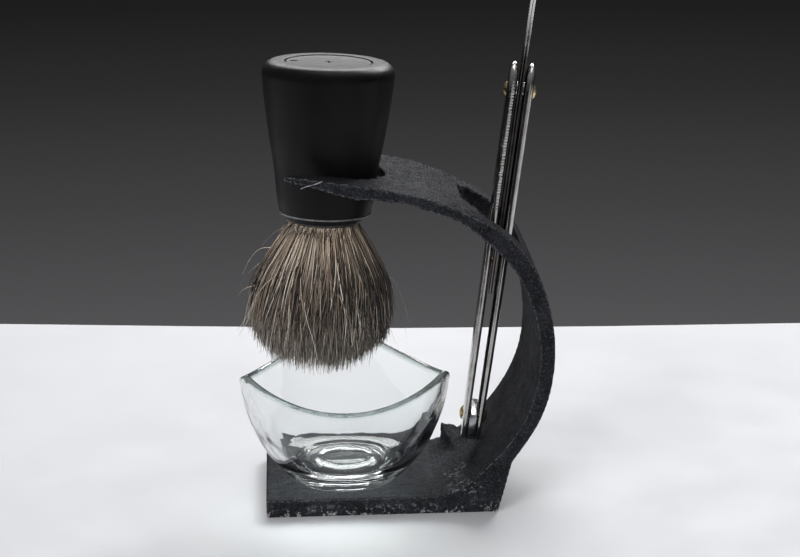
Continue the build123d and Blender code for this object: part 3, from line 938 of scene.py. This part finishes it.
def printed_stand():
    """The stand's own shape with the ridges, terraces and sagging threads of a rough print."""
    source = frame["nodes"]["printed_stand"]
    piece = bpy.data.objects.new("printed_stand_body", source.data.copy())
    scene.collection.objects.link(piece)
    weld = piece.modifiers.new("weld", "WELD")
    weld.merge_threshold = WELD_GAP
    voxels = piece.modifiers.new("voxels", "REMESH")
    voxels.mode = "VOXEL"
    voxels.voxel_size = PRINT_VOXEL * MM
    bake_modifiers(piece)
    mesh = piece.data
    co = np.empty(len(mesh.vertices) * 3, np.float32)
    normal = np.empty_like(co)
    mesh.vertices.foreach_get("co", co)
    mesh.vertex_normals.foreach_get("vector", normal)
    co = co.reshape(-1, 3).astype(float) / MM
    normal = normal.reshape(-1, 3).astype(float)
    x, y, z = co.T
    ny, nz = normal[:, 1], normal[:, 2]
    moved = co.copy()
    # Heights from which the arm, its overhangs and its flattening top begin.
    arm_from, overhang_from, crest_from = 60, 70, 88
    layer_pitch, terrace = 1.25, 0.9
    shrink = 0.05
    rough = np.array([noise.noise(Vector(p) * 0.55) for p in co])
    grit = np.array([noise.noise(Vector(p) * 1.7 + Vector((31, 7, 5))) for p in co])
    rows = np.array([noise.noise(Vector((p[0] * 0.08, p[1] * 0.9, p[2] * 0.12))) for p in co])
    # The faces at the front and back show layers and grit, the others rows and the arm's lumps.
    front = fade(np.abs(ny), 0.6, 0.3)
    push = 0.05 * rough + front * (0.16 * grit + 0.07 * np.sin(2 * math.pi * z / layer_pitch))
    push += (1 - front) * (0.06 * rows + (0.16 * rough + 0.12 * grit) * (nz > 0.3) * (z > arm_from))
    # Overhangs sag in short threads; the prongs' undersides are the roughest.
    under = fade(-nz, 0.55, 0.3) * (z > overhang_from)
    ragged = under * (0.25 + 0.75 * np.clip((20 - x) / 30, 0, 1))
    threads = np.array([noise.noise(Vector((p[0] * 1.3, p[1] * 0.35, 3.0))) for p in co])
    # The underside stays flat, as the table holds it.
    held = fade(z, 0.2, 0.8)
    moved += normal * (push * held - shrink)[:, None]
    moved[:, 2] -= ragged * (0.05 + 1.0 * np.clip(threads + 0.5 * grit, 0, 1))
    # Shallow slopes near the top show terraces.
    top = fade(nz, 0.55, 0.3) * (z > crest_from)
    moved[:, 2] += top * 0.1 * (np.floor(z / terrace + 0.5) * terrace - z)
    # The curb's sloping face is torn and crumbly.
    near_curb = (x > 21) & (x < 33) & (z > 6.4) & (z < 14) & (y < 27) & (x < 34 - 0.1 * y)
    moved += normal * (near_curb * 0.35 * grit)[:, None]
    moved = np.clip(moved, co.min(0), co.max(0))
    # Points whose normals lean partway to the front or back, mostly on edges, are marked for the painted highlight.
    edge_highlight_mask = np.clip(1.0 - np.abs(np.abs(ny) - 0.68) / 0.3, 0, 1) * (z > 0.6)
    mesh.vertices.foreach_set("co", (moved * MM).astype(np.float32).ravel())
    mesh.materials.clear()
    mesh.materials.append(printed)
    shade_smooth(mesh)
    mesh.update()
    paint(piece, "edge", edge_highlight_mask)
    paint(piece, "torn", near_curb * (y < -4) * (z < 10.5) * 0.3)
    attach(piece, "stand")
    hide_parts("printed_stand")


printed_stand()


def tube(name, path, radius, material, body):
    """A thin closed tube along a path of points in millimetres."""
    path = [np.array(p, float) for p in path]
    around, points = 8, []
    for k, p in enumerate(path):
        ahead = path[min(k + 1, len(path) - 1)] - path[max(k - 1, 0)]
        ahead /= np.linalg.norm(ahead)
        side = np.cross(ahead, (0.0, 0.3, 1.0))
        side /= np.linalg.norm(side)
        other = np.cross(ahead, side)
        r = radius * (1.0 - 0.5 * k / len(path))
        for s in range(around):
            a = 2 * math.pi * s / around
            points.append(p + r * (math.cos(a) * side + math.sin(a) * other))
    faces = grid_faces(len(path), around)
    faces.append(tuple(reversed(range(around))))
    faces.append(tuple(range((len(path) - 1) * around, len(path) * around)))
    add_mesh(name, points, faces, material, body)


# One thread of plastic hangs loose across the front prong's tip.
tube("loose_thread", [(-17.6, -26.6, 111.0), (-18.9, -26.8, 110.5), (-20.8, -26.9, 109.9), (-22.6, -26.8, 109.5),
                      (-24.4, -26.4, 108.7)], 0.2, thread, "stand")

# ------------------------------------------------------------------ stage, light, camera
# The pale sheet ends in a slightly wavy edge behind the stand.
floor_mesh = bpy.data.meshes.new("table_top")
table_edge = [(3.0, 0.02), (0.18, 0.170), (0.1, 0.172), (0.017, 0.176), (-0.066, 0.185), (-0.149, 0.195), (-3.0, 0.5)]
corners = [(-3, -0.3, 0), (3, -0.3, 0)] + [(x, y, 0) for x, y in table_edge]
floor_mesh.from_pydata(corners, [], [tuple(range(len(corners)))])
floor = bpy.data.objects.new("table_top", floor_mesh)
floor_mesh.materials.append(paper_floor())
scene.collection.objects.link(floor)


def studio_world(wall_shades, lowest, card_aim, card_from, card_full, card_light):
    """A wall that changes with the height looked at, and a soft card in front for the metal to mirror."""
    world = bpy.data.worlds.new("studio")
    scene.world = world
    world.use_nodes = True
    tree = world.node_tree
    background = tree.nodes["Background"]
    where = tree.nodes.new("ShaderNodeTexCoord")
    split = tree.nodes.new("ShaderNodeSeparateXYZ")
    tree.links.new(where.outputs["Generated"], split.inputs[0])
    height = tree.nodes.new("ShaderNodeMapRange")
    height.inputs["From Min"].default_value = lowest
    height.inputs["From Max"].default_value = 1.0
    tree.links.new(split.outputs["Z"], height.inputs["Value"])
    wall = tree.nodes.new("ShaderNodeValToRGB")
    tree.links.new(height.outputs["Result"], wall.inputs["Fac"])
    elements = wall.color_ramp.elements
    while len(elements) < len(wall_shades):
        elements.new(0.5)
    for element, (at, shade) in zip(elements, wall_shades):
        element.position = at
        element.color = (shade, shade, shade * 1.04, 1)
    aim = tree.nodes.new("ShaderNodeVectorMath")
    aim.operation = "DOT_PRODUCT"
    aim.inputs[1].default_value = card_aim
    tree.links.new(where.outputs["Generated"], aim.inputs[0])
    card = tree.nodes.new("ShaderNodeMapRange")
    card.interpolation_type = "SMOOTHSTEP"
    card.inputs["From Min"].default_value = card_from
    card.inputs["From Max"].default_value = card_full
    card.inputs["To Max"].default_value = card_light
    tree.links.new(aim.outputs["Value"], card.inputs["Value"])
    both = tree.nodes.new("ShaderNodeMix")
    both.data_type = "RGBA"
    both.blend_type = "ADD"
    both.inputs["Factor"].default_value = 1.0
    tree.links.new(wall.outputs["Color"], both.inputs[6])
    tree.links.new(card.outputs["Result"], both.inputs[7])
    tree.links.new(both.outputs[2], background.inputs["Color"])
    background.inputs["Strength"].default_value = 1.0


studio_world(
    wall_shades=[(0.0145, 0.090), (0.058, 0.053), (0.097, 0.026), (0.126, 0.0125), (0.242, 0.012), (0.30, 0.055),
                 (0.485, 0.075), (0.70, 0.17), (1.0, 0.24)],
    lowest=-0.32, card_aim=(0.35, -0.93, -0.12), card_from=0.86, card_full=0.96, card_light=0.30)


def area_light(name, place, target, width, height, power):
    """A white soft box in metres and watts, turned to its target and hidden from the camera."""
    light = bpy.data.lights.new(name, "AREA")
    light.shape = "RECTANGLE"
    light.size, light.size_y = width, height
    light.energy = power
    lamp = bpy.data.objects.new(name, light)
    lamp.visible_camera = False
    scene.collection.objects.link(lamp)
    place, target = Vector(place), Vector(target)
    lamp.matrix_world = Matrix.Translation(place) @ (target - place).to_track_quat("-Z", "Y").to_matrix().to_4x4()
    return lamp


area_light("back_box", (0.05, 1.1, 0.75), (0.0, 0.0, 0.08), 0.8, 0.4, 8.5)
area_light("key_box", (0.5, 0.75, 0.72), (0.0, 0.0, 0.05), 0.35, 0.3, 5.5)
area_light("top_box", (0.1, 0.1, 1.1), (0.0, 0.0, 0.05), 0.8, 0.6, 2.3)
# The fill would leave a hard rectangle in the bowl, so it lights only matt surfaces.
fill = area_light("left_front", (-0.7, -0.95, 0.36), (0.0, 0.0, 0.08), 0.5, 0.5, 11.0)
fill.visible_glossy = False
fill.visible_transmission = False

# The camera comes from a least-squares fit to the photo's outlines.
focal_pixels, frame_pixels, film_width = 2206.0, 800.0, 36.0
camera_place = Vector((-28.85, -690.0, 269.4))
yaw, pitch, roll = math.radians(-3.02), math.radians(15.97), math.radians(-0.45)
camera_data = bpy.data.cameras.new("camera")
camera_data.sensor_width = film_width
camera_data.lens = focal_pixels / frame_pixels * film_width
camera_data.clip_start, camera_data.clip_end = 0.01, 20.0
camera = bpy.data.objects.new("camera", camera_data)
scene.collection.objects.link(camera)
right = Vector((math.cos(yaw), math.sin(yaw), 0))
back = Vector((math.sin(yaw) * math.cos(pitch), -math.cos(yaw) * math.cos(pitch), math.sin(pitch)))
up = back.cross(right)
turned = right * math.cos(roll) + up * math.sin(roll)
upright = up * math.cos(roll) - right * math.sin(roll)
basis = Matrix((turned, upright, back)).transposed().to_4x4()
camera.matrix_world = Matrix.Translation(camera_place * MM) @ basis
scene.camera = camera
scene.view_settings.view_transform = "Standard"
